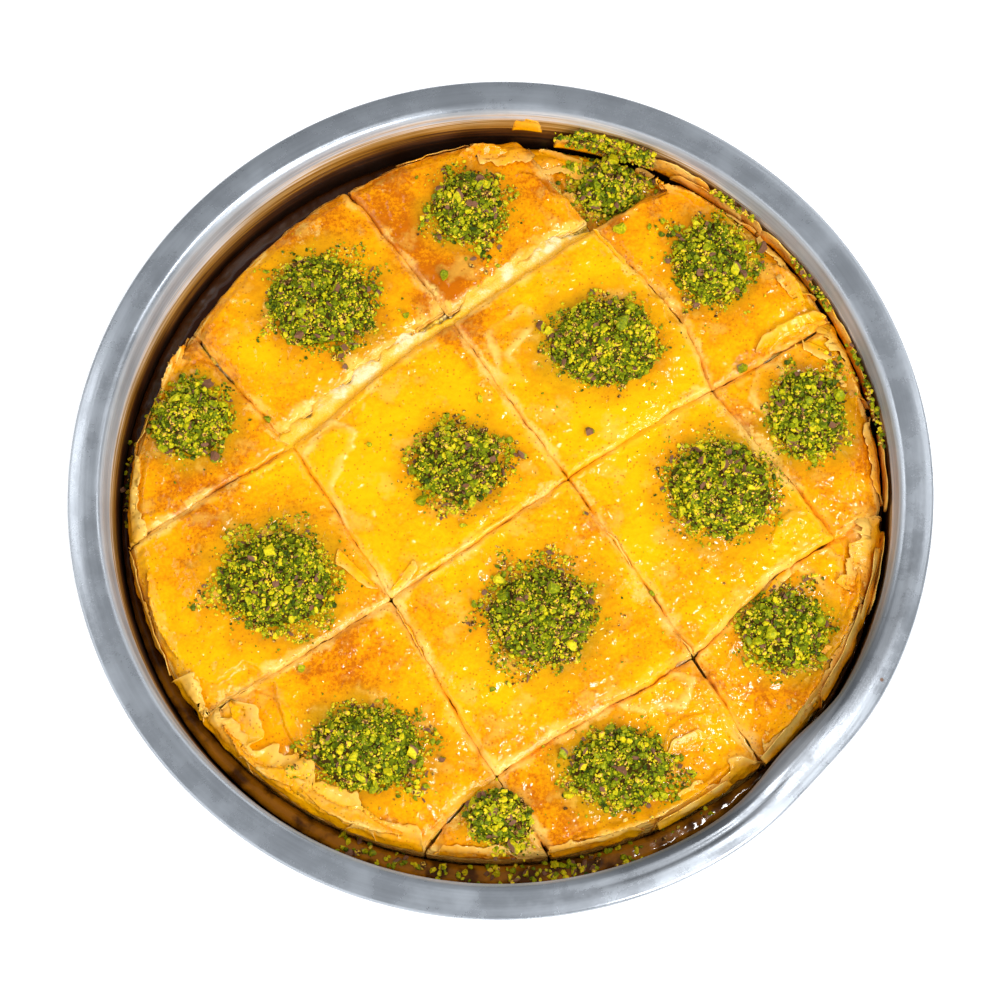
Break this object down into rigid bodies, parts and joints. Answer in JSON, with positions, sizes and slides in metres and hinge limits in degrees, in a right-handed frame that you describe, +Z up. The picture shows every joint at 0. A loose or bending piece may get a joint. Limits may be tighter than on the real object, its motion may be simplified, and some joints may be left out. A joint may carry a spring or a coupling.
{
  "type": "tray of cut filo pastry",
  "caption": "Round metal baking tin of filo pastry filled with cream, cut into uneven diamonds and squares, each topped with a small mound of ground pistachio.",
  "frame": {"origin": "on the table, under the centre of the round tin", "axes": "+Z up out of the tin; +X to the right and +Y to the top of the picture"},
  "size_m": [0.3, 0.3, 0.048],
  "materials": {
    "tin": "spun and brushed, bright along the rolled edge, dulled with use",
    "syrup": "clear dark amber sugar syrup, wet",
    "base": "baked filo soaked in syrup",
    "crust": "golden baked filo, glazed with syrup and butter",
    "cream": "set clotted cream, moist",
    "pistachio": "coarsely ground pistachio kernels with bits of skin, dry"
  },
  "bodies": {
    "root": {"tin": "tin", "syrup": "syrup", "bottom_crust": "base", "cream_1": "cream", "cream_2": "cream", "cream_3": "cream", "cream_4": "cream", "cream_5": "cream", "cream_6": "cream", "cream_7": "cream", "cream_8": "cream", "cream_9": "cream", "cream_10": "cream", "cream_11": "cream", "cream_12": "cream", "cream_13": "cream", "cream_14": "cream", "cream_15": "cream", "crust_1": "crust", "crust_2": "crust", "crust_3": "crust", "crust_4": "crust", "crust_5": "crust", "crust_6": "crust", "crust_7": "crust", "crust_8": "crust", "crust_9": "crust", "crust_10": "crust", "crust_11": "crust", "crust_12": "crust", "crust_13": "crust", "crust_14": "crust", "crust_15": "crust", "pistachio_1": "pistachio", "pistachio_2": "pistachio", "pistachio_3": "pistachio", "pistachio_4": "pistachio", "pistachio_5": "pistachio", "pistachio_6": "pistachio", "pistachio_7": "pistachio", "pistachio_8": "pistachio", "pistachio_9": "pistachio", "pistachio_10": "pistachio", "pistachio_11": "pistachio", "pistachio_12": "pistachio", "pistachio_13": "pistachio", "pistachio_14": "pistachio", "pistachio_15": "pistachio"}
  },
  "joints": []
}
